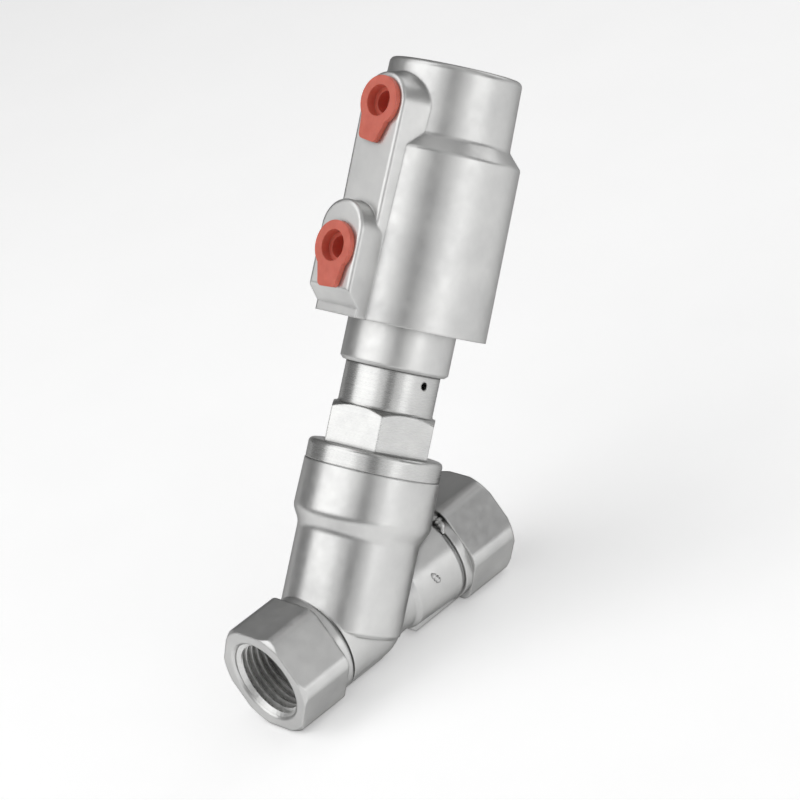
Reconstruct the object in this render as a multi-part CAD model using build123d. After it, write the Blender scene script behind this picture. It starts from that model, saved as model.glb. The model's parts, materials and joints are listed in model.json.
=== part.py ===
from build123d import *
from math import cos, radians, sin
import os

# Angle seat valve, DN 15, with a piston actuator, in millimetres.
# Casting frame: origin at the centre of the inlet mouth, +X along the flow, +Z up.
# Row frame: the same, moved inwards to where the inlet's threaded wall is full.
# Stem frame: origin where the stem axis crosses the flow axis, +Z up the stem;
# "height" below always means height along the stem from that crossing.

# ---------------------------------------------------------------- driving dimensions
# Pipe side
stem_tilt = 52.0              # between the stem axis and the flow axis, degrees
face_to_face = 75.0           # inlet mouth to outlet mouth
inlet_to_centre = 26.2        # inlet mouth to the crossing of the two axes
datum_inset = 1.0             # inlet mouth to the origin of the row frame
bore_radius = 7.5             # flow passage
port_thread_radius = 10.48    # G 1/2, at the root of the thread
port_thread_depth = 13.5
port_lead_in_radius = 11.1    # countersink at the mouth
port_drill_point = 0.6        # length of the cone below the thread, over its step in radius
port_hex_flats = 26.8
port_hex_length = 15.0
port_hex_round = 4.0          # cast rounding of the six corners
port_hex_mouth_radius = 13.9  # turned end face of the hexagon
port_hex_back_break = 0.5
port_ring_radius = 13.3       # raised ring behind each hexagon
port_ring_width = 2.2
port_groove_width = 0.8
port_groove_radius = 12.4

# Casting between the ports, radii about the flow axis
bowl_radius = 13.1
bowl_end = 30.5               # distance from the inlet mouth where the bowl starts to close
waist_radius = 11.3
waist_start = 39.0
waist_end = 41.6
outlet_step = 1.4
outlet_start_radius = 12.2
outlet_end_radius = 12.8
foot_width = 9.0              # flat pads under the casting
foot_depth = 13.45            # from the flow axis
foot_round = 0.5
near_foot_end = 31.0
near_foot_slope = 7.0         # length of its sloping end
far_foot_start = 44.2
far_foot_slope = 1.8

# Seat and disc
web_thickness = 3.0           # wall between inlet and outlet side
web_top = 0.3                 # height of its upper face
seat_radius = 6.5
seat_lip_width = 1.4
seat_lip_flare = 0.6          # the lip is this much wider at its root
seat_lip_root = 0.5           # depth of the lip below the web's face
seat_lip_height = 0.9

# Body neck
tube_radius = 15.2
tube_bottom = -1.0
tube_edge_round = 1.0
tube_top = 22.8
neck_bottom = 26.2
neck_radius = 17.1
neck_top_radius = 16.85
neck_top = 38.4
neck_blend = 4.0              # cast rounding above and below the cone under the neck
chamber_radius = 11.9
bonnet_thread_radius = 13.6
gasket_shoulder = 25.0
gasket_thickness = 1.0

# Bonnet
bonnet_ring_radius = 16.7
bonnet_ring_height = 5.1
bonnet_ring_round = 1.2
bonnet_hex_flats = 25.3
bonnet_hex_height = 9.9
bonnet_hex_chamfer = 1.3      # height lost at the corners
bonnet_hex_turn = 45.0        # one corner stands this far round from the air ports
bonnet_neck_radius = 11.75
bonnet_neck_height = 10.2
bonnet_neck_blend = 0.7       # rounding where the neck rises from the hexagon
spigot_radius = 10.5
spigot_height = 18.8
leak_hole_radius = 1.0
leak_hole_below_neck_top = 2.4

# Stem and packing
stem_radius = 4.0
stem_tail_radius = 2.5
stem_head_radius = 3.2
packing_radius = 7.5
packing_floor = 37.0
support_ring_height = 1.5
packing_spring_height = 7.6
packing_spring_wire = 1.3
packing_spring_turns = 3.5
base_ring_height = 2.0
chevron_height = 1.5
chevron_rise = 0.8            # height of the vee over the chevron's own height
chevron_count = 4
top_ring_height = 1.6
gland_height = 4.0
gland_slot = 1.6
wiper_radius = 7.0
wiper_height = 2.6
wiper_lip = 0.5
wiper_mouth = 1.2
bush_radius = 6.0
bush_height = 8.0
carrier_height = 9.0
rod_seal_depth = 1.9
rod_seal_height = 2.6
guide_clearance = 0.2         # radial, round the stem in parts that don't guide it
stem_hole_clearance = 0.3
stem_nut_overrun = 0.9        # stem standing proud of its two nuts

# Disc assembly
disc_radius = 9.5
disc_height = 4.6
disc_rim = 0.6
disc_chamfer = 1.0
disc_hub_radius = 6.0
disc_hub_height = 3.0
disc_seal_thickness = 3.0
retainer_radius = 5.4
retainer_thickness = 1.6
disc_nut_flats = 7.0
disc_nut_height = 2.6

# Actuator; places in the housing are measured up from its bottom
housing_bottom = 74.2
housing_bottom_radius = 20.75
housing_top_radius = 20.25
shoulder_start = 42.8
shoulder_end = 46.5
shoulder_round = 1.3
cap_bottom_radius = 16.85
cap_top_radius = 16.4
cap_height = 63.8
cap_round = 1.5
cap_blend = 1.2               # concave rounding where the cap rises from the shoulder
cylinder_radius = 18.05
cylinder_height = 40.0
spring_chamber_radius = 14.3
cap_thickness = 3.6
collar_radius = 13.45
collar_round = 0.8
cover_ring_thickness = 1.3
cover_ring_above_bottom = 1.1
cover_ring_width = 3.4
cover_ring_groove = 1.05
cover_ring_gap = 50.0         # degrees left open by the snap ring
cover_thickness = 5.6
cover_recess_radius = 13.2
cover_recess_depth = 3.5
swivel_ring_thickness = 1.2
swivel_ring_width = 2.3
swivel_groove_depth = 0.9
o_ring_section = 2.4
o_ring_squeeze = 0.8          # groove depth over the section
o_ring_corner = 0.3           # corner rounding over the seal's width
o_ring_above_collar_bottom = 6.0

# Piston
piston_above_cover = 11.8     # lower face of the piston, valve closed
piston_height = 10.0
piston_recess_depth = 3.0
piston_rim = 2.6
piston_chamfer = 0.6
piston_hub_radius = 8.0
piston_hub_height = 5.0
piston_seal_depth = 2.6
piston_seal_height = 3.4
piston_seal_above_bottom = 1.8
guide_ring_depth = 1.5
guide_ring_height = 2.0
guide_ring_above_seal = 1.0
piston_washer_radius = 6.4
piston_washer_thickness = 1.0
piston_nut_flats = 10.0
piston_nut_height = 4.0

# Main spring
spring_mean_radius = 11.2
spring_wire = 2.6
spring_turns = 6.0
spring_cup_thickness = 1.2
spring_cup_inner = 8.8

# Air manifold, cast on the inlet side of the housing: a rail up to the upper port and a
# boss round the lower one. Distances from the stem axis, heights from the housing's bottom.
rail_face = 22.0
rail_width = 13.2             # at its face
rail_end_radius = 7.2         # round the upper port
rail_start = 8.8
boss_face = 26.8
boss_width = 14.4
boss_arch_centre = 20.2
boss_chamfer_top = 6.1
boss_chamfer_bottom = 2.3
boss_foot = 22.8
manifold_draft = 11.0         # the sides spread towards the housing, degrees
manifold_round = 0.9
air_port_radius = 4.4         # G 1/8
upper_port_below_cap = 12.0   # measured down from the top of the cap
upper_port_depth = 6.0
lower_port_height = 15.8
lower_port_depth = 7.2
air_channel_radius = 1.9

# Dust plugs
plug_flange_radius = 6.1
plug_flange_thickness = 1.4
plug_tab_root = 10.6          # width of the pull tab, drawn to the plug's centre
plug_tab_end = 5.8
plug_tab_reach = 9.9
plug_tab_round = 1.4
plug_length = 5.2
plug_recess_radius = 3.8
plug_recess_depth = 2.5
plug_bore_radius = 2.7
plug_floor = 0.8
upper_plug_turn = -8.0        # each plug sits turned a little, degrees
lower_plug_turn = 3.0

# Details shared by several pieces
nut_chamfer_share = 0.6       # height of a nut's chamfer over its radial width
tool_overrun = 1.0            # cuts run this far past the faces they open

# Clearances
running_fit = 0.05            # radial, between parts that slide or turn
seal_fit = 0.02               # radial, between a seal and what runs in it
seat_fit = 0.05               # radial, between parts screwed or dropped into each other
swivel_play = 0.10            # axial, between bonnet and actuator

# ---------------------------------------------------------------- derived places
stem_frame = Location((inlet_to_centre, 0, 0), (0, 90 - stem_tilt, 0))
seat_height = web_top + seat_lip_height
gasket_top = gasket_shoulder + gasket_thickness
bonnet_ring_top = neck_top + bonnet_ring_height
bonnet_hex_top = bonnet_ring_top + bonnet_hex_height
bonnet_neck_top = bonnet_hex_top + bonnet_neck_height
spigot_top = bonnet_neck_top + spigot_height
collar_bottom = bonnet_neck_top + swivel_play
cover_ring_bottom = housing_bottom + cover_ring_above_bottom
cover_bottom = cover_ring_bottom + cover_ring_thickness
cover_top = cover_bottom + cover_thickness
cover_floor = cover_top - cover_recess_depth
swivel_ring_bottom = cover_floor + swivel_play
shoulder_bottom = housing_bottom + shoulder_start
shoulder_top = housing_bottom + shoulder_end
cap_top = housing_bottom + cap_height
cylinder_top = housing_bottom + cylinder_height
cap_ceiling = cap_top - cap_thickness
upper_port = cap_top - upper_port_below_cap
lower_port = housing_bottom + lower_port_height
piston_bottom = cover_top + piston_above_cover
piston_top = piston_bottom + piston_height
piston_floor = piston_top - piston_recess_depth
seal_groove_bottom = piston_bottom + piston_seal_above_bottom
guide_groove_bottom = seal_groove_bottom + piston_seal_height + guide_ring_above_seal
disc_bottom = seat_height + disc_seal_thickness
disc_top = disc_bottom + disc_height
stem_shoulder = disc_top + disc_hub_height
retainer_bottom = seat_height - retainer_thickness
disc_nut_bottom = retainer_bottom - disc_nut_height
support_top = packing_floor + support_ring_height
packing_spring_top = support_top + packing_spring_height
base_ring_top = packing_spring_top + base_ring_height
vee_rise = chevron_rise * chevron_height
chevron_top = base_ring_top + chevron_count * chevron_height
top_ring_top = chevron_top + top_ring_height
gland_top = top_ring_top + gland_height
wiper_top = gasket_top + wiper_height
stem_hole_radius = stem_radius + stem_hole_clearance
o_ring_bottom = collar_bottom + o_ring_above_collar_bottom


# ---------------------------------------------------------------- helpers
def turned(*points):
    """Solid of revolution about the stem axis from (radius, height) corners."""
    outline = make_face(Polyline(*[(r, 0, h) for r, h in points], close=True))
    return revolve(outline, Axis.Z)


def ring(outer, inner, low, high):
    """Plain ring between two radii and two heights."""
    return turned((inner, low), (outer, low), (outer, high), (inner, high))


def post(radius, low, high):
    """Plain cylinder between two heights."""
    return Pos(0, 0, (low + high) / 2) * Cylinder(radius, high - low)


def on_flow_axis(radius, start, end):
    """Cylinder about the flow axis, in the row frame."""
    return Pos((start + end) / 2, 0, 0) * Rot(0, 90, 0) * Cylinder(radius, end - start)


def hex_bar(flats, low, high, corner_round=0.0, turn=0.0):
    """Hexagonal bar about Z between two heights, one corner turned from +X."""
    outline = RegularPolygon(flats / 2, 6, major_radius=False, rotation=0)
    if corner_round:
        outline = fillet(outline.vertices(), corner_round)
    return Pos(0, 0, low) * Rot(0, 0, turn) * extrude(outline, high - low)


def hex_nut(flats, hole, low, high):
    """Nut with both ends chamfered."""
    corner = flats / 2 / cos(radians(30))
    edge = corner - flats / 2
    rise = edge * nut_chamfer_share
    barrel = turned((hole, low), (flats / 2, low), (corner, low + rise),
                    (corner, high - rise), (flats / 2, high), (hole, high))
    return hex_bar(flats, low, high) & barrel


def snap_ring(outer, inner, low, high, gap, facing):
    """Ring with a gap of so many degrees, centred on the direction facing."""
    half = radians(gap / 2)
    reach = outer * 2
    wedge = make_face(Polyline((0, 0), (reach * cos(half), reach * sin(half)),
                               (reach * cos(half), -reach * sin(half)), close=True))
    slot = Pos(0, 0, low) * Rot(0, 0, facing) * extrude(wedge, high - low)
    return ring(outer, inner, low, high) - slot


def coil(mean_radius, wire, low, high, turns):
    """Compression spring between two heights, wire and all."""
    climb = high - low - wire
    path = Pos(0, 0, low + wire / 2) * Helix(climb / turns, climb, mean_radius)
    section = Plane(origin=path @ 0, z_dir=path % 0) * Circle(wire / 2)
    return sweep(section, path, is_frenet=True)


# ---------------------------------------------------------------- valve body
def port_hexagon():
    """Hexagon of one port: mouth at x = 0, the pipe behind it at +x."""
    corner = port_hex_flats / 2 / cos(radians(30))
    depth = corner - port_hex_mouth_radius
    bar = hex_bar(port_hex_flats, 0, port_hex_length, port_hex_round, turn=90)
    back = port_hex_length - port_hex_back_break
    envelope = turned((0, 0), (port_hex_mouth_radius, 0), (corner, depth), (corner, back),
                      (corner - port_hex_back_break, port_hex_length), (0, port_hex_length))
    return Rot(0, 90, 0) * (bar & envelope)


def port_thread_hole():
    """Threaded hole with its countersink, mouth at x = 0."""
    lead_in = port_lead_in_radius - port_thread_radius
    point = (port_thread_radius - bore_radius) * port_drill_point
    hole = turned((0, -tool_overrun), (port_lead_in_radius, -tool_overrun), (port_lead_in_radius, 0),
                  (port_thread_radius, lead_in), (port_thread_radius, port_thread_depth),
                  (bore_radius, port_thread_depth + point), (0, port_thread_depth + point))
    return Rot(0, 90, 0) * hole


def pipe_casting():
    """Outside of the casting between the two hexagons, turned about the flow axis."""
    near_start = port_hex_length - tool_overrun
    far_end = face_to_face - near_start
    ring_end = port_hex_length + port_ring_width
    bowl_start = ring_end + port_groove_width
    far_ring_start = face_to_face - ring_end
    far_groove_start = far_ring_start - port_groove_width
    near = Polyline((near_start, 0), (near_start, port_ring_radius), (ring_end, port_ring_radius),
                    (ring_end, port_groove_radius), (bowl_start, port_groove_radius),
                    (bowl_start, bowl_radius), (bowl_end, bowl_radius))
    closing = Spline((bowl_end, bowl_radius), (waist_start, waist_radius),
                     tangents=[(1, 0), (1, 0)])
    far = Polyline((waist_start, waist_radius), (waist_end, waist_radius),
                   (waist_end + outlet_step, outlet_start_radius),
                   (far_groove_start, outlet_end_radius), (far_groove_start, port_groove_radius),
                   (far_ring_start, port_groove_radius), (far_ring_start, port_ring_radius),
                   (far_end, port_ring_radius), (far_end, 0))
    base = Line((far_end, 0), (near_start, 0))
    return revolve(make_face([near, closing, far, base]), Axis.X)


def foot(*corners):
    """Flat pad under the casting from (x, z) corners of its side view."""
    outline = make_face(Polyline(*[(x, 0, z) for x, z in corners], close=True))
    pad = extrude(outline, foot_width / 2, both=True)
    long_edges = pad.edges().filter_by(Axis.X).group_by(Axis.Z)[0]
    return fillet(long_edges, foot_round)


def neck_casting():
    """Tube and neck about the stem axis, before they are bored."""
    outside = turned((0, tube_bottom), (tube_radius - tube_edge_round, tube_bottom),
                     (tube_radius, tube_bottom + tube_edge_round), (tube_radius, tube_top),
                     (neck_radius, neck_bottom), (neck_top_radius, neck_top), (0, neck_top))
    rims = outside.edges().filter_by(GeomType.CIRCLE)
    bends = rims.filter_by_position(Axis.Z, tube_top, neck_bottom)
    return fillet(bends, neck_blend)


def valve_body():
    at_outlet = Pos(face_to_face, 0, 0) * Rot(0, 0, 180)
    near_foot = foot((port_hex_length, 0), (port_hex_length, -foot_depth), (near_foot_end, -foot_depth),
                     (near_foot_end + near_foot_slope, -waist_radius), (near_foot_end + near_foot_slope, 0))
    far_foot = foot((far_foot_start - far_foot_slope, 0), (far_foot_start - far_foot_slope, -waist_radius),
                    (far_foot_start, -foot_depth), (face_to_face - port_hex_length, -foot_depth),
                    (face_to_face - port_hex_length, 0))
    casting = pipe_casting() + near_foot + far_foot + stem_frame * neck_casting()
    casting += port_hexagon() + at_outlet * port_hexagon()

    room = 4 * tube_radius
    below_web = Pos(0, 0, web_top - web_thickness - room / 2) * Box(room, room, room)
    above_web = Pos(0, 0, web_top + room) * Box(2 * room, 2 * room, 2 * room)
    inlet_way = on_flow_axis(bore_radius, port_thread_depth, face_to_face / 2)
    outlet_way = on_flow_axis(bore_radius, inlet_to_centre, face_to_face - port_thread_depth)
    chamber = turned((0, web_top), (chamber_radius, web_top), (chamber_radius, gasket_shoulder),
                     (bonnet_thread_radius, gasket_shoulder), (bonnet_thread_radius, neck_top),
                     (0, neck_top))
    seat_hole = post(seat_radius, web_top - web_thickness - tool_overrun, web_top)
    casting -= inlet_way & (stem_frame * below_web)
    casting -= outlet_way & (stem_frame * above_web)
    casting -= stem_frame * chamber
    casting -= stem_frame * seat_hole
    casting -= port_thread_hole()
    casting -= at_outlet * port_thread_hole()
    lip_root = web_top - seat_lip_root
    lip_top_radius = seat_radius + seat_lip_width
    lip_root_radius = lip_top_radius + seat_lip_flare
    lip = turned((seat_radius, lip_root), (lip_root_radius, lip_root), (lip_root_radius, web_top),
                 (lip_top_radius, seat_height), (seat_radius, seat_height))
    return casting + stem_frame * lip


# ---------------------------------------------------------------- bonnet and packing
def bonnet():
    thread = bonnet_thread_radius - seat_fit
    corner = bonnet_hex_flats / 2 / cos(radians(30))
    outside = turned((0, gasket_top), (thread, gasket_top), (thread, neck_top),
                     (bonnet_ring_radius, neck_top), (bonnet_ring_radius, bonnet_ring_top),
                     (bonnet_neck_radius, bonnet_ring_top), (bonnet_neck_radius, bonnet_neck_top),
                     (spigot_radius, bonnet_neck_top), (spigot_radius, spigot_top), (0, spigot_top))
    rim = outside.edges().filter_by(GeomType.CIRCLE)
    rim = rim.filter_by(lambda e: abs(e.radius - bonnet_ring_radius) < 0.01).sort_by(Axis.Z)[-1]
    outside = fillet(rim, bonnet_ring_round)
    crown = turned((0, bonnet_ring_top), (corner, bonnet_ring_top),
                   (corner, bonnet_hex_top - bonnet_hex_chamfer),
                   (bonnet_hex_flats / 2, bonnet_hex_top), (0, bonnet_hex_top))
    bar = hex_bar(bonnet_hex_flats, bonnet_ring_top, bonnet_hex_top, turn=180 + bonnet_hex_turn)
    outside += bar & crown
    foot_of_neck = outside.edges().filter_by(GeomType.CIRCLE)
    foot_of_neck = foot_of_neck.filter_by(lambda e: abs(e.radius - bonnet_neck_radius) < 0.01)
    outside = fillet(foot_of_neck.sort_by(Axis.Z)[0], bonnet_neck_blend)
    inside = turned((0, gasket_top - tool_overrun), (wiper_radius, gasket_top - tool_overrun),
                    (wiper_radius, wiper_top), (bush_radius, wiper_top),
                    (bush_radius, wiper_top + bush_height), (stem_hole_radius, wiper_top + bush_height),
                    (stem_hole_radius, packing_floor), (packing_radius, packing_floor),
                    (packing_radius, spigot_top + tool_overrun), (0, spigot_top + tool_overrun))
    groove = ring(spigot_radius + tool_overrun, spigot_radius - swivel_groove_depth,
                  swivel_ring_bottom, swivel_ring_bottom + swivel_ring_thickness)
    wall = bonnet_neck_radius - packing_radius
    leak_hole = Pos(0, -bonnet_neck_radius, bonnet_neck_top - leak_hole_below_neck_top)
    leak_hole *= Rot(90, 0, 0) * Cylinder(leak_hole_radius, 2 * (wall + tool_overrun))
    return outside - inside - groove - leak_hole


def body_gasket():
    return ring(bonnet_thread_radius - seat_fit, chamber_radius, gasket_shoulder, gasket_top)


def stem_wiper():
    inner = stem_radius + seal_fit
    outer = wiper_radius - seal_fit
    lip_top = gasket_top + wiper_lip
    return turned((inner, gasket_top), (outer, gasket_top), (outer, wiper_top),
                  (stem_radius + wiper_mouth, wiper_top), (stem_radius + wiper_lip, lip_top),
                  (inner, lip_top))


def stem_guide_bush():
    return ring(bush_radius - seal_fit, stem_radius + running_fit, wiper_top, wiper_top + bush_height)


def packing_support_ring():
    return ring(packing_radius - running_fit, stem_radius + guide_clearance, packing_floor, support_top)


def packing_spring():
    mean = (packing_radius + stem_radius) / 2
    return coil(mean, packing_spring_wire, support_top, packing_spring_top, packing_spring_turns)


def vee(low_edge, low_middle, high_edge, high_middle):
    """Turned ring in the packing space whose lower and upper faces are vees, points up."""
    inner = stem_radius + seal_fit
    outer = packing_radius - seal_fit
    middle = (inner + outer) / 2
    return turned((inner, low_edge), (middle, low_middle), (outer, low_edge),
                  (outer, high_edge), (middle, high_middle), (inner, high_edge))


def packing_base_ring():
    return vee(packing_spring_top, packing_spring_top, base_ring_top - vee_rise, base_ring_top)


def packing_chevrons():
    start = base_ring_top - vee_rise
    rings = []
    for k in range(chevron_count):
        low = start + k * chevron_height
        high = low + chevron_height
        rings.append(vee(low, low + vee_rise, high, high + vee_rise))
    return Compound(children=rings)


def packing_top_ring():
    low = base_ring_top - vee_rise + chevron_count * chevron_height
    return vee(low, low + vee_rise, top_ring_top, top_ring_top)


def gland_nut():
    nut = ring(packing_radius - seat_fit, stem_radius + guide_clearance, top_ring_top, gland_top)
    slot = Pos(0, 0, gland_top) * Box(2 * packing_radius, gland_slot, gland_slot * 2)
    return nut - slot


def rod_seal_carrier():
    low = spigot_top - carrier_height
    seal_low = low + (carrier_height - rod_seal_height) / 2
    sleeve = ring(packing_radius - seat_fit, stem_radius + running_fit, low, spigot_top)
    groove = ring(stem_radius + rod_seal_depth, stem_radius, seal_low, seal_low + rod_seal_height)
    slot = Pos(0, 0, spigot_top) * Box(2 * packing_radius, gland_slot, gland_slot)
    return sleeve - groove - slot


def rod_seal():
    low = spigot_top - carrier_height
    seal_low = low + (carrier_height - rod_seal_height) / 2
    return ring(stem_radius + rod_seal_depth - seal_fit, stem_radius + seal_fit,
                seal_low + seal_fit, seal_low + rod_seal_height - seal_fit)


def swivel_ring():
    inner = spigot_radius - swivel_groove_depth + seal_fit
    return snap_ring(inner + swivel_ring_width, inner, swivel_ring_bottom + seal_fit,
                     swivel_ring_bottom + swivel_ring_thickness - seal_fit, cover_ring_gap, facing=0)


# ---------------------------------------------------------------- stem and disc
def stem():
    head_bottom = piston_bottom - piston_hub_height
    head_top = piston_floor + piston_washer_thickness + piston_nut_height + stem_nut_overrun
    tail_bottom = disc_nut_bottom - stem_nut_overrun
    return turned((0, tail_bottom), (stem_tail_radius, tail_bottom), (stem_tail_radius, stem_shoulder),
                  (stem_radius, stem_shoulder), (stem_radius, head_bottom),
                  (stem_head_radius, head_bottom), (stem_head_radius, head_top), (0, head_top))


def valve_disc():
    hole = stem_tail_radius + seat_fit
    rim_bottom = disc_bottom - disc_seal_thickness / 2
    return turned((hole, disc_bottom), (disc_radius - disc_rim, disc_bottom),
                  (disc_radius - disc_rim, rim_bottom), (disc_radius, rim_bottom),
                  (disc_radius, disc_top - disc_chamfer), (disc_radius - disc_chamfer, disc_top),
                  (disc_hub_radius, disc_top), (disc_hub_radius, stem_shoulder), (hole, stem_shoulder))


def disc_seal():
    outer = disc_radius - disc_rim - seal_fit
    return ring(outer, stem_tail_radius + seat_fit, seat_height, disc_bottom)


def disc_seal_retainer():
    return ring(retainer_radius, stem_tail_radius + seat_fit, retainer_bottom, seat_height)


def disc_nut():
    return hex_nut(disc_nut_flats, stem_tail_radius + seat_fit, disc_nut_bottom, retainer_bottom)


# ---------------------------------------------------------------- actuator
def manifold_rail():
    """Rail up the housing, its sides spreading inwards, with a round end at the upper port."""
    low = housing_bottom + rail_start
    half = rail_width / 2
    outline = make_face(Polyline((-half, low), (half, low), (rail_end_radius, upper_port),
                                 (-rail_end_radius, upper_port), close=True))
    outline += Pos(0, upper_port) * Circle(rail_end_radius)
    depth = rail_face - spring_chamber_radius / 2
    rail = extrude(outline, depth, taper=-manifold_draft)
    outer_face = rail.faces().sort_by(Axis.Z)[0]
    rail = fillet(outer_face.edges(), manifold_round)
    facing = Plane(origin=(-rail_face, 0, 0), x_dir=(0, -1, 0), z_dir=(-1, 0, 0))
    return facing.location * mirror(rail, Plane.XY)


def manifold_boss():
    """Boss round the lower port, bevelled below and arched above."""
    side = make_face(Polyline((0, 0), (-boss_foot, 0), (-boss_foot, boss_chamfer_bottom),
                              (-boss_face, boss_chamfer_top), (-boss_face, boss_arch_centre),
                              (0, boss_arch_centre), close=True))
    boss = Rot(90, 0, 0) * extrude(side, boss_width / 2, both=True)
    arch = Pos(-boss_face / 2, 0, boss_arch_centre) * Rot(0, 90, 0)
    boss += arch * Cylinder(boss_width / 2, boss_face)
    boss = fillet(boss.faces().sort_by(Axis.X)[0].edges(), manifold_round)
    return Pos(0, 0, housing_bottom) * boss


def air_port(face, height, depth):
    """Tapped hole in the manifold and the channel from it into the cylinder."""
    hole = Pos(-face + depth / 2, 0, height) * Rot(0, 90, 0) * Cylinder(air_port_radius, depth)
    reach = face - depth - spring_chamber_radius / 2
    channel = Pos(-face + depth + reach / 2, 0, height) * Rot(0, 90, 0)
    return hole + channel * Cylinder(air_channel_radius, reach)


def housing_shell():
    """Outside of the cylinder with its shoulder and cap."""
    shell = turned((0, housing_bottom), (housing_bottom_radius, housing_bottom),
                   (housing_top_radius, shoulder_bottom), (cap_bottom_radius, shoulder_top),
                   (cap_top_radius, cap_top), (0, cap_top))
    for height, rounding in ((cap_top, cap_round), (shoulder_top, cap_blend),
                             (shoulder_bottom, shoulder_round)):
        rims = shell.edges().filter_by(GeomType.CIRCLE)
        rim = rims.filter_by(lambda e: abs(e.center().Z - height) < 0.01)
        shell = fillet(rim, rounding)
    return shell


def actuator_housing():
    shell = housing_shell() + manifold_rail() + manifold_boss()
    groove = ring(cylinder_radius + cover_ring_groove, cylinder_radius - tool_overrun,
                  cover_ring_bottom, cover_bottom)
    step = cylinder_radius - spring_chamber_radius
    low = housing_bottom - tool_overrun
    inside = turned((0, low), (cylinder_radius, low), (cylinder_radius, cylinder_top - step / 3),
                    (spring_chamber_radius, cylinder_top), (spring_chamber_radius, cap_ceiling),
                    (0, cap_ceiling))
    shell -= inside
    shell -= groove
    shell -= air_port(rail_face, upper_port, upper_port_depth)
    shell -= air_port(boss_face, lower_port, lower_port_depth)
    return shell


def cover_rim():
    """Radius of the cover's rim, and height and depth of the seal groove in it."""
    rim = cylinder_radius - seat_fit
    low = cover_bottom + (cover_thickness - o_ring_section) / 2
    return rim, low, o_ring_section * o_ring_squeeze


def lower_cover():
    hole = spigot_radius + running_fit
    rim, low, depth = cover_rim()
    outside = turned((hole, collar_bottom), (collar_radius - collar_round, collar_bottom),
                     (collar_radius, collar_bottom + collar_round), (collar_radius, cover_bottom),
                     (rim, cover_bottom), (rim, cover_top), (cover_recess_radius, cover_top),
                     (cover_recess_radius, cover_floor), (hole, cover_floor))
    swivel_groove = ring(hole + depth, hole - tool_overrun, o_ring_bottom,
                         o_ring_bottom + o_ring_section)
    rim_groove = ring(rim + tool_overrun, rim - depth, low, low + o_ring_section)
    return outside - swivel_groove - rim_groove


def square_o_ring(outer, inner, low):
    """Seal ring seated in its groove, corners rounded as it lies squeezed."""
    high = low + o_ring_section - seal_fit
    body = ring(outer, inner, low + seal_fit, high)
    return fillet(body.edges().filter_by(GeomType.CIRCLE), (outer - inner) * o_ring_corner)


def collar_o_ring():
    groove = spigot_radius + running_fit + o_ring_section * o_ring_squeeze
    return square_o_ring(groove - seal_fit, spigot_radius + seal_fit, o_ring_bottom)


def cover_o_ring():
    rim, low, depth = cover_rim()
    return square_o_ring(cylinder_radius - seal_fit, rim - depth + seal_fit, low)


def cover_retaining_ring():
    outer = cylinder_radius + cover_ring_groove - seal_fit
    return snap_ring(outer, outer - cover_ring_width, cover_ring_bottom + seal_fit, cover_bottom,
                     cover_ring_gap, facing=0)


# ---------------------------------------------------------------- piston and spring
def piston():
    outer = cylinder_radius - running_fit
    hole = stem_head_radius + seat_fit
    hub_bottom = piston_bottom - piston_hub_height
    body = turned((hole, hub_bottom), (piston_hub_radius, hub_bottom),
                  (piston_hub_radius, piston_bottom), (outer - piston_chamfer, piston_bottom),
                  (outer, piston_bottom + piston_chamfer), (outer, piston_top),
                  (outer - piston_rim, piston_top), (outer - piston_rim, piston_floor),
                  (hole, piston_floor))
    seal_groove = ring(outer + tool_overrun, outer - piston_seal_depth, seal_groove_bottom,
                       seal_groove_bottom + piston_seal_height)
    guide_groove = ring(outer + tool_overrun, outer - guide_ring_depth, guide_groove_bottom,
                        guide_groove_bottom + guide_ring_height)
    return body - seal_groove - guide_groove


def piston_seal():
    """Lip seal: a vee of two lips open towards the air side below."""
    outer = cylinder_radius - seal_fit
    inner = cylinder_radius - running_fit - piston_seal_depth + seal_fit
    low = seal_groove_bottom + seal_fit
    high = seal_groove_bottom + piston_seal_height - seal_fit
    third = (outer - inner) / 3
    return turned((inner, low), (inner + third, low), (inner + 1.5 * third, low + piston_seal_height / 2),
                  (outer - third, low), (outer, low), (outer, high), (inner, high))


def piston_guide_ring():
    outer = cylinder_radius - seal_fit
    inner = cylinder_radius - running_fit - guide_ring_depth + seal_fit
    return ring(outer, inner, guide_groove_bottom + seal_fit,
                guide_groove_bottom + guide_ring_height - seal_fit)


def piston_washer():
    return ring(piston_washer_radius, stem_head_radius + seat_fit, piston_floor,
                piston_floor + piston_washer_thickness)


def piston_nut():
    low = piston_floor + piston_washer_thickness
    return hex_nut(piston_nut_flats, stem_head_radius + seat_fit, low, low + piston_nut_height)


def main_spring():
    return coil(spring_mean_radius, spring_wire, piston_floor, cap_ceiling - spring_cup_thickness,
                spring_turns)


def spring_cup():
    return ring(spring_chamber_radius - seat_fit, spring_cup_inner,
                cap_ceiling - spring_cup_thickness, cap_ceiling)


# ---------------------------------------------------------------- dust plugs
def dust_plug(face, height, turn):
    """Hollow plug in an air port: flange with a pull tab hanging from it, facing -X."""
    tab = make_face(Polyline((-plug_tab_root / 2, 0), (-plug_tab_end / 2, -plug_tab_reach),
                             (plug_tab_end / 2, -plug_tab_reach), (plug_tab_root / 2, 0), close=True))
    tab = fillet(tab.vertices().group_by(Axis.Y)[0], plug_tab_round)
    body = extrude(Circle(plug_flange_radius) + tab, plug_flange_thickness)
    body += post(air_port_radius - seat_fit, -plug_length, plug_flange_thickness)
    body -= post(plug_recess_radius, plug_flange_thickness - plug_recess_depth, plug_flange_thickness)
    body -= post(plug_bore_radius, plug_floor - plug_length, plug_flange_thickness)
    facing = Plane(origin=(-face, 0, height), x_dir=(0, -1, 0), z_dir=(-1, 0, 0))
    return facing.location * Rot(0, 0, turn) * body


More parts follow.
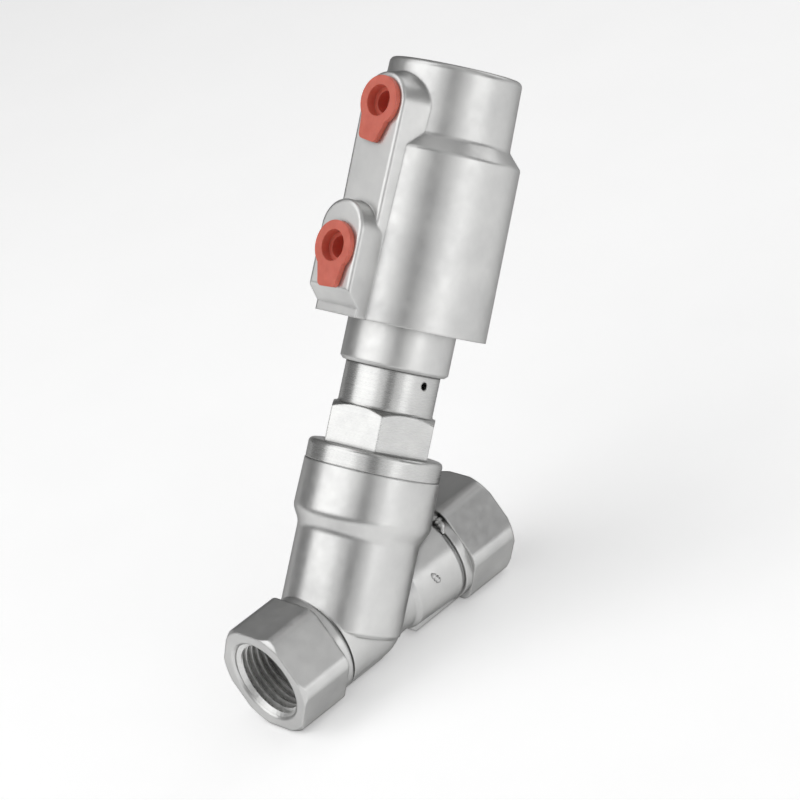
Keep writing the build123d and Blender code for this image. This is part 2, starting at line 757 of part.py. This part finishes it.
# ---------------------------------------------------------------- all nodes
coaxial = {
    "body_gasket": body_gasket,
    "bonnet": bonnet,
    "stem_wiper": stem_wiper,
    "stem_guide_bush": stem_guide_bush,
    "packing_support_ring": packing_support_ring,
    "packing_spring": packing_spring,
    "packing_base_ring": packing_base_ring,
    "packing_chevrons": packing_chevrons,
    "packing_top_ring": packing_top_ring,
    "gland_nut": gland_nut,
    "rod_seal_carrier": rod_seal_carrier,
    "rod_seal": rod_seal,
    "swivel_ring": swivel_ring,
    "stem": stem,
    "valve_disc": valve_disc,
    "disc_seal": disc_seal,
    "disc_seal_retainer": disc_seal_retainer,
    "disc_nut": disc_nut,
    "lower_cover": lower_cover,
    "collar_o_ring": collar_o_ring,
    "cover_o_ring": cover_o_ring,
    "cover_retaining_ring": cover_retaining_ring,
    "actuator_housing": actuator_housing,
    "piston": piston,
    "piston_seal": piston_seal,
    "piston_guide_ring": piston_guide_ring,
    "piston_washer": piston_washer,
    "piston_nut": piston_nut,
    "main_spring": main_spring,
    "spring_cup": spring_cup,
}
row_frame = Pos(-datum_inset, 0, 0)
on_stem = row_frame * stem_frame
nodes = {"valve_body": row_frame * valve_body()}
for name, make in coaxial.items():
    nodes[name] = on_stem * make()
nodes["upper_dust_plug"] = on_stem * dust_plug(rail_face, upper_port, upper_plug_turn)
nodes["lower_dust_plug"] = on_stem * dust_plug(boss_face, lower_port, lower_plug_turn)

os.makedirs("parts", exist_ok=True)
for name, shape in nodes.items():
    export_step(shape, f"parts/{name}.step")
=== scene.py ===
import json
import random
from math import cos, pi, radians, sin, sqrt

import bmesh
import bpy
from mathutils import Matrix, Vector
from mathutils.bvhtree import BVHTree


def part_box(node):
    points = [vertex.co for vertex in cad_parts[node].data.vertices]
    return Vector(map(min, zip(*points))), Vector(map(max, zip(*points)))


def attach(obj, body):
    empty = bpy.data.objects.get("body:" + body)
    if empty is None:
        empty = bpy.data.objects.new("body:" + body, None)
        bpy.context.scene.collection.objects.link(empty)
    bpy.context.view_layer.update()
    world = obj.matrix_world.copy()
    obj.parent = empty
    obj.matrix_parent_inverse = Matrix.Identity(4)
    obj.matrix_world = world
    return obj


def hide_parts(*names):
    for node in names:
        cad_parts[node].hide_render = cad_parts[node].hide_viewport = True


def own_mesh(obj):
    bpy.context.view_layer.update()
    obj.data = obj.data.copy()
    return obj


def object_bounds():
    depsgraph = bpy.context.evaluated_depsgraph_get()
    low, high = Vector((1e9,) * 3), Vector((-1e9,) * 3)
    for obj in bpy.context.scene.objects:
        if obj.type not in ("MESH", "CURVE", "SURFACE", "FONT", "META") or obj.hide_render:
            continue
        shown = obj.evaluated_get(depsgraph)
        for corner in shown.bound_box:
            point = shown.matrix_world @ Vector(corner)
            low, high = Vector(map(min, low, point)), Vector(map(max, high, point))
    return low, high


MM = 0.001

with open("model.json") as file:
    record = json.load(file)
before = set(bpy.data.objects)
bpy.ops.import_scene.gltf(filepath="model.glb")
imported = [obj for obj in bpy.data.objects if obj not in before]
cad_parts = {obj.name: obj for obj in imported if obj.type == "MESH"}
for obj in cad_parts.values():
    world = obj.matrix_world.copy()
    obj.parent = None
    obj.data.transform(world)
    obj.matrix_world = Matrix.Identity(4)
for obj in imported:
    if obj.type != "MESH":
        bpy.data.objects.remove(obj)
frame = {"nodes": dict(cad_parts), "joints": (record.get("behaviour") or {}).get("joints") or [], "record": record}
cad_low, cad_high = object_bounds()
record = frame["record"]
nodes = frame["nodes"]
mounts = {mount["name"]: mount for mount in record["mounts"]}
joints = {joint["name"]: joint for joint in frame["joints"]}

# ------------------------------------------------------------------ places from the frame
stem_axis = Vector(joints["stem_lift"]["axis"]).normalized()
centre = Vector(joints["actuator_swivel"]["pos_m"])   # where the stem axis crosses the flow axis
side_axis = Vector((0, 1, 0))
out_axis = side_axis.cross(stem_axis).normalized()   # square to the stem, towards the outlet side
thread_root = mounts["inlet_port"]["dims"]["r_mm"] * MM
thread_length = mounts["inlet_port"]["dims"]["length_mm"] * MM
mount_inset = mounts["inlet_port"]["pos_m"][0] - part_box("valve_body")[0][0]
lead_in = 0.62 * MM   # depth of the countersink before the threaded wall


# ------------------------------------------------------------------ node helpers
def new_material(name):
    mat = bpy.data.materials.new(name)
    mat.use_nodes = True
    tree = mat.node_tree
    shader = tree.nodes["Principled BSDF"]
    return mat, tree, shader


def add(tree, kind, **values):
    """New node, with each value set on the input of that name or, without one, as an attribute."""
    node = tree.nodes.new(kind)
    for key, value in values.items():
        if key in node.inputs:
            node.inputs[key].default_value = value
        else:
            setattr(node, key, value)
    return node


def object_coords(tree):
    return add(tree, "ShaderNodeTexCoord").outputs["Object"]


def noise(tree, coords, scale, detail=3):
    tex = add(tree, "ShaderNodeTexNoise", Scale=scale, Detail=detail, Roughness=0.55)
    tree.links.new(coords, tex.inputs["Vector"])
    return tex.outputs["Fac"]


def ramp(tree, value, low, high, start=0.3, end=0.7):
    """Number from low to high as the value goes from start to end."""
    node = add(tree, "ShaderNodeMapRange")
    node.inputs["From Min"].default_value = start
    node.inputs["From Max"].default_value = end
    node.inputs["To Min"].default_value = low
    node.inputs["To Max"].default_value = high
    tree.links.new(value, node.inputs["Value"])
    return node.outputs["Result"]


def colour_between(tree, value, dark, light, start=0.3, end=0.7):
    """Colour from dark to light as the value goes from start to end."""
    node = add(tree, "ShaderNodeValToRGB")
    node.color_ramp.elements[0].position = start
    node.color_ramp.elements[0].color = (*dark, 1)
    node.color_ramp.elements[1].position = end
    node.color_ramp.elements[1].color = (*light, 1)
    tree.links.new(value, node.inputs["Fac"])
    return node.outputs["Color"]


def bump(tree, height, strength, distance, normal):
    node = add(tree, "ShaderNodeBump", Strength=strength, Distance=distance)
    tree.links.new(height, node.inputs["Height"])
    tree.links.new(normal, node.inputs["Normal"])
    return node.outputs["Normal"]


def soft_edges(tree, radius):
    """Normal that rounds sharp edges and corners."""
    return add(tree, "ShaderNodeBevel", samples=6, Radius=radius).outputs["Normal"]


def painted_crease_shade(tree, colour, reach, darkest):
    """Darken a colour in corners and grooves: painted shade, deeper where other surfaces are near."""
    near = add(tree, "ShaderNodeAmbientOcclusion", samples=6, Distance=reach)
    shade = ramp(tree, near.outputs["AO"], darkest, 1.0, start=0.35, end=0.85)
    mix = add(tree, "ShaderNodeMix", data_type="RGBA", blend_type="MULTIPLY")
    mix.inputs["Factor"].default_value = 1.0
    tree.links.new(colour, mix.inputs["A"])
    tree.links.new(shade, mix.inputs["B"])
    return mix.outputs["Result"]


# ------------------------------------------------------------------ materials
painted_edge_shade = (0.3, 0.3, 0.3, 1)   # painted shade: cast and turned steel darken where they are seen edge-on, standing in for dark surroundings in the reflection
edge_radius = 0.7 * MM   # of cast and machined edges alike


def cast_steel(name="cast_steel", smooth=0.28):
    """Bead-blasted investment casting: fine grain over slow mottling, rounded arrises."""
    mat, tree, shader = new_material(name)
    coords = object_coords(tree)
    cloud = noise(tree, coords, 90, 4)
    mottle = noise(tree, coords, 420, 4)
    grain = noise(tree, coords, 2600, 2)
    shader.inputs["Metallic"].default_value = 1.0
    colour = colour_between(tree, cloud, (0.60, 0.60, 0.595), (0.70, 0.70, 0.69))
    # painted shade: base colour darkened in corners and grooves
    tree.links.new(painted_crease_shade(tree, colour, 1.8 * MM, 0.45), shader.inputs["Base Color"])
    # painted shade: reflection darkened where the steel is seen edge-on
    shader.inputs["Specular Tint"].default_value = painted_edge_shade
    tree.links.new(ramp(tree, mottle, smooth, smooth + 0.08), shader.inputs["Roughness"])
    edges = soft_edges(tree, edge_radius)
    slow = bump(tree, cloud, 0.18, 0.12 * MM, edges)
    middle = bump(tree, mottle, 0.10, 0.04 * MM, slow)
    tree.links.new(bump(tree, grain, 0.10, 0.02 * MM, middle), shader.inputs["Normal"])
    return mat


def turned_steel():
    """Machined and lightly polished steel with faint tool rings about the stem."""
    mat, tree, shader = new_material("turned_steel")
    coords = object_coords(tree)
    along = add(tree, "ShaderNodeVectorMath", operation="DOT_PRODUCT")
    along.inputs[1].default_value = stem_axis
    tree.links.new(coords, along.inputs[0])
    rings = add(tree, "ShaderNodeTexNoise", noise_dimensions="1D", Scale=1800, Detail=1)
    tree.links.new(along.outputs["Value"], rings.inputs["W"])
    mottle = noise(tree, coords, 220)
    shader.inputs["Metallic"].default_value = 1.0
    colour = colour_between(tree, mottle, (0.575, 0.575, 0.57), (0.64, 0.64, 0.63))
    # painted shade: base colour darkened in corners and grooves
    tree.links.new(painted_crease_shade(tree, colour, 1.5 * MM, 0.35), shader.inputs["Base Color"])
    # painted shade: reflection darkened where the steel is seen edge-on
    shader.inputs["Specular Tint"].default_value = painted_edge_shade
    tree.links.new(ramp(tree, rings.outputs["Fac"], 0.25, 0.29), shader.inputs["Roughness"])
    edges = soft_edges(tree, edge_radius)
    tree.links.new(bump(tree, mottle, 0.08, 0.04 * MM, edges), shader.inputs["Normal"])
    return mat


def mottled(name, scale, dark, light, smooth, dull, metallic=1.0):
    """Finish whose colour and roughness both follow one fine mottling."""
    mat, tree, shader = new_material(name)
    mottle = noise(tree, object_coords(tree), scale)
    shader.inputs["Metallic"].default_value = metallic
    tree.links.new(colour_between(tree, mottle, dark, light), shader.inputs["Base Color"])
    tree.links.new(ramp(tree, mottle, smooth, dull), shader.inputs["Roughness"])
    return mat


def thread_steel():
    """Cut thread, as bright on its flanks as on its crests."""
    return mottled("thread_steel", 900, (0.66, 0.66, 0.65), (0.76, 0.76, 0.75), 0.34, 0.44)


def spring_steel():
    return mottled("spring_steel", 500, (0.34, 0.33, 0.32), (0.48, 0.47, 0.45), 0.28, 0.42)


def bronze():
    return mottled("bronze", 300, (0.50, 0.33, 0.15), (0.68, 0.48, 0.24), 0.25, 0.40)


def piston_alloy():
    return mottled("piston_alloy", 300, (0.72, 0.73, 0.75), (0.80, 0.81, 0.83), 0.30, 0.42)


def ptfe():
    return mottled("ptfe", 400, (0.80, 0.79, 0.76), (0.88, 0.88, 0.86), 0.40, 0.55, metallic=0.0)


def seal_rubber():
    return mottled("seal_rubber", 600, (0.015, 0.015, 0.016), (0.035, 0.035, 0.036), 0.45, 0.65,
                   metallic=0.0)


def plug_plastic():
    """Soft moulded polyethylene, translucent at its thin edges."""
    mat, tree, shader = new_material("plug_plastic")
    coords = object_coords(tree)
    mottle = noise(tree, coords, 350)
    grain = noise(tree, coords, 2200, 2)
    tree.links.new(colour_between(tree, mottle, (0.62, 0.13, 0.085), (0.70, 0.17, 0.12)),
                   shader.inputs["Base Color"])
    tree.links.new(ramp(tree, mottle, 0.36, 0.48), shader.inputs["Roughness"])
    shader.inputs["Subsurface Weight"].default_value = 0.25
    shader.inputs["Subsurface Radius"].default_value = (1.0, 0.25, 0.12)
    shader.inputs["Subsurface Scale"].default_value = 0.8 * MM
    edges = soft_edges(tree, 0.3 * MM)
    tree.links.new(bump(tree, grain, 0.2, 0.02 * MM, edges), shader.inputs["Normal"])
    return mat


makers = {
    "cast_steel": cast_steel, "turned_steel": turned_steel, "spring_steel": spring_steel,
    "bronze": bronze, "aluminium_piston": piston_alloy, "ptfe": ptfe,
    "rubber_seal": seal_rubber, "red_plastic": plug_plastic,
}
finish = {slot: make() for slot, make in makers.items()}
thread_finish = thread_steel()
duller_finish = cast_steel("blasted_steel", smooth=0.32)
duller_castings = ("actuator_housing", "lower_cover")
for part in record["subparts"]:
    mesh = nodes[part["node"]].data
    mesh.materials.clear()
    dull = part["node"] in duller_castings
    mesh.materials.append(duller_finish if dull else finish[part["material_slot"]])


# ------------------------------------------------------------------ pieces
def mesh_object(name, verts, faces, smooth=True):
    """Object from vertices and faces, with doubled points welded and its normals outwards."""
    weld = 1e-7
    mesh = bpy.data.meshes.new(name)
    mesh.from_pydata(verts, [], faces)
    mesh.validate()
    obj = bpy.data.objects.new(name, mesh)
    bpy.context.scene.collection.objects.link(obj)
    bm = bmesh.new()
    bm.from_mesh(mesh)
    bmesh.ops.remove_doubles(bm, verts=bm.verts, dist=weld)
    bmesh.ops.dissolve_degenerate(bm, edges=bm.edges, dist=weld)
    bmesh.ops.recalc_face_normals(bm, faces=bm.faces)
    bm.to_mesh(mesh)
    bm.free()
    if smooth:
        mesh.polygons.foreach_set("use_smooth", [True] * len(mesh.polygons))
    return obj


def tube_faces(rings, around):
    """Faces of a capped tube whose vertices are listed ring by ring."""
    faces = []
    for k in range(rings - 1):
        here = k * around
        ahead = here + around
        for i in range(around):
            j = (i + 1) % around
            faces.append((here + i, here + j, ahead + j, ahead + i))
    faces.append(tuple(range(around)))
    faces.append(tuple(range((rings - 1) * around, rings * around)))
    return faces


def port_thread(name, mount, pitch=1.814 * MM, depth=1.16 * MM):
    """Helical ridge of the pipe thread, standing on the port's wall."""
    per_turn = 48
    first_angle = radians(-32)   # where the first turn starts, as in the photo
    fade_turns = 0.5   # the ridge runs out over these at its inner end
    flank = 0.5 * pitch
    shoulder = 0.86 * flank
    crest = 0.09 * pitch
    foot = thread_root + 0.04 * MM   # just inside the port's metal
    start = lead_in - flank   # the ridge grows out of the countersink
    count = int(thread_length / pitch * per_turn)
    inward = -Vector(mount["axis"])
    mouth = Vector(mount["pos_m"]) - inward * mount_inset
    u = side_axis
    v = inward.cross(u)
    verts = []
    for k in range(count + 1):
        share = k / count
        fade = min(1.0, (1 - share) * count / (per_turn * fade_turns))
        top = thread_root - depth * fade
        x = start + share * thread_length
        profile = [(-flank, foot), (-shoulder, thread_root), (-crest, top),
                   (crest, top), (shoulder, thread_root), (flank, foot)]
        angle = first_angle + 2 * pi * k / per_turn
        radial = u * cos(angle) + v * sin(angle)
        for dx, r in profile:
            deep = max(x + dx, lead_in)
            bevel = thread_root - (deep - lead_in)   # the countersink's cone cuts the first turns
            verts.append(tuple(mouth + inward * deep + radial * max(r, bevel)))
    obj = mesh_object(name, verts, tube_faces(count + 1, len(profile)), smooth=False)
    obj.data.materials.append(thread_finish)
    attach(obj, "valve")


def working_spring(name, node, turns=6):
    """The piston's spring as a smooth coil in the CAD spring's place."""
    per_turn = 44
    around = 14
    heights = []
    radii = []
    for vertex in nodes[node].data.vertices:
        place = vertex.co - centre
        height = place.dot(stem_axis)
        heights.append(height)
        radii.append((place - stem_axis * height).length)
    wire = (max(radii) - min(radii)) / 2
    mean = max(radii) - wire
    low = min(heights) + wire
    high = max(heights) - wire
    count = turns * per_turn
    verts = []
    for k in range(count + 1):
        angle = 2 * pi * k / per_turn
        radial = out_axis * cos(angle) + side_axis * sin(angle)
        middle = centre + radial * mean + stem_axis * (low + (high - low) * k / count)
        for i in range(around):
            a = 2 * pi * i / around
            verts.append(tuple(middle + radial * wire * cos(a) + stem_axis * wire * sin(a)))
    obj = mesh_object(name, verts, tube_faces(count + 1, around))
    obj.data.materials.append(finish["spring_steel"])
    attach(obj, "actuator")
    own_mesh(obj)
    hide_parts(node)


def cast_bead(name, places_mm, thickness, seed):
    """Lumpy bead that the casting left on the body, partly sunk in it along the places given."""
    steps = 7   # on each stretch between two places
    around = 12
    tip = 0.15   # share of the thickness left at either end
    thinnest = 0.65   # the radius varies by chance between these shares
    thickest = 1.3
    sunk = 0.3   # the middle lies this share of the radius below the surface
    luck = random.Random(seed)
    body = nodes["valve_body"].data
    skin = BVHTree.FromPolygons([v.co for v in body.vertices], [p.vertices for p in body.polygons])
    spine = []
    for start, end in zip(places_mm, places_mm[1:]):
        for k in range(steps):
            place = Vector(start).lerp(Vector(end), k / steps) * MM
            point, normal, _, _ = skin.find_nearest(place)
            spine.append((point, normal))
    last = len(spine) - 1
    verts = []
    for k, (point, normal) in enumerate(spine):
        ahead = spine[min(k + 1, last)][0] - spine[max(k - 1, 0)][0]
        aside = normal.cross(ahead).normalized()
        share = k / last
        swell = tip + (1 - tip) * sqrt(sin(pi * share))
        radius = thickness * swell * luck.uniform(thinnest, thickest)
        middle = point - normal * radius * sunk
        for i in range(around):
            a = 2 * pi * i / around
            verts.append(tuple(middle + (aside * cos(a) + normal * sin(a)) * radius))
    obj = mesh_object(name, verts, tube_faces(len(spine), around))
    obj.data.materials.append(finish["cast_steel"])
    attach(obj, "valve")


port_thread("inlet_thread", mounts["inlet_port"])
port_thread("outlet_thread", mounts["outlet_port"])
working_spring("main_spring_coil", "main_spring")
nick = [(47.4, -12.0, 3.3), (48.2, -12.4, 1.6), (48.9, -12.5, -0.2)]
cast_bead("nick_on_outlet_pipe", nick, 0.85 * MM, seed=3)
rough_spot = [(57.6, -5.4, 12.4), (58.0, -7.0, 11.4), (57.6, -8.2, 10.4), (56.4, -9.4, 8.0)]
cast_bead("rough_spot_by_outlet", rough_spot, 1.25 * MM, seed=5)

# ------------------------------------------------------------------ stage
floor_half = 6.0
ground = cad_low[2] - 0.5 * MM
floor_corners = [(-floor_half, -floor_half, ground), (floor_half, -floor_half, ground),
                 (floor_half, floor_half, ground), (-floor_half, floor_half, ground)]
floor = mesh_object("floor", floor_corners, [(0, 1, 2, 3)], smooth=False)
floor_mat, floor_tree, floor_shader = new_material("floor_paper")
paper = noise(floor_tree, object_coords(floor_tree), 30)
floor_tree.links.new(colour_between(floor_tree, paper, (0.96, 0.96, 0.96), (0.98, 0.98, 0.98)),
                     floor_shader.inputs["Base Color"])
floor_shader.inputs["Roughness"].default_value = 0.9
floor_shader.inputs["Emission Color"].default_value = (1, 1, 1, 1)
floor_shader.inputs["Emission Strength"].default_value = 0.28
floor.data.materials.append(floor_mat)

# ------------------------------------------------------------------ camera
# Azimuth and elevation of the camera seen from the valve, and its roll
view_azimuth = radians(-36.3)
view_elevation = radians(27.5)
view_roll = radians(17.8)
view_distance = 0.800
view_lens = 147.2
aim = centre + Vector((0.0377, -0.0006, 0.0421))   # the middle of the picture
back = Vector((sin(view_azimuth) * cos(view_elevation), -cos(view_azimuth) * cos(view_elevation),
               sin(view_elevation)))
level_right = Vector((cos(view_azimuth), sin(view_azimuth), 0))
level_up = back.cross(level_right)
right = level_right * cos(view_roll) - level_up * sin(view_roll)
up = back.cross(right)


def stand(obj, place, x, y, z):
    """Put an object at a place, with its own axes along x, y and z."""
    bpy.context.scene.collection.objects.link(obj)
    turn = Matrix((x, y, z)).transposed().to_4x4()
    obj.matrix_world = Matrix.Translation(place) @ turn


def add_camera():
    data = bpy.data.cameras.new("camera")
    data.lens = view_lens
    data.sensor_width = 36
    data.clip_start = 0.01
    data.clip_end = 30
    camera = bpy.data.objects.new("camera", data)
    stand(camera, aim + back * view_distance, right, up, back)
    bpy.context.scene.camera = camera


add_camera()

# ------------------------------------------------------------------ light
lit_place = centre + stem_axis * 0.06
to_camera = (back - stem_axis * back.dot(stem_axis)).normalized()   # square to the stem
to_right = stem_axis.cross(to_camera)
panel_distance = 0.9


def add_panel(name, around, rise, width, height, power):
    """Soft box facing the valve, so many degrees round the stem from the camera and up along it."""
    a = radians(around)
    e = radians(rise)
    outward = (to_camera * cos(a) + to_right * sin(a)) * cos(e) + stem_axis * sin(e)
    data = bpy.data.lights.new(name, "AREA")
    data.shape = "RECTANGLE"
    data.size = width
    data.size_y = height
    data.energy = power
    x = stem_axis.cross(outward).normalized()
    y = outward.cross(x)
    stand(bpy.data.objects.new(name, data), lit_place + outward * panel_distance, x, y, outward)


add_panel("left_wall", -60, 5, 1.04, 0.62, 2.9)
add_panel("left_front", -20, 5, 0.32, 0.62, 0.45)
add_panel("right_front", 20, 5, 0.32, 0.62, 0.38)
add_panel("right_wall", 50, 5, 0.64, 0.62, 1.55)
add_panel("high_left", -72, 45, 0.64, 0.62, 1.6)
add_panel("high_right", 30, 45, 0.64, 0.62, 0.5)
add_panel("top", 0, 85, 0.4, 0.62, 0.32)
add_panel("high_back", 127, 57, 0.6, 0.46, 0.82)

world = bpy.data.worlds.new("world")
bpy.context.scene.world = world
world.use_nodes = True
sky = world.node_tree.nodes["Background"]
sky.inputs["Color"].default_value = (0.94, 0.94, 0.94, 1)
sky.inputs["Strength"].default_value = 0.25
bpy.context.scene.view_settings.view_transform = "Standard"
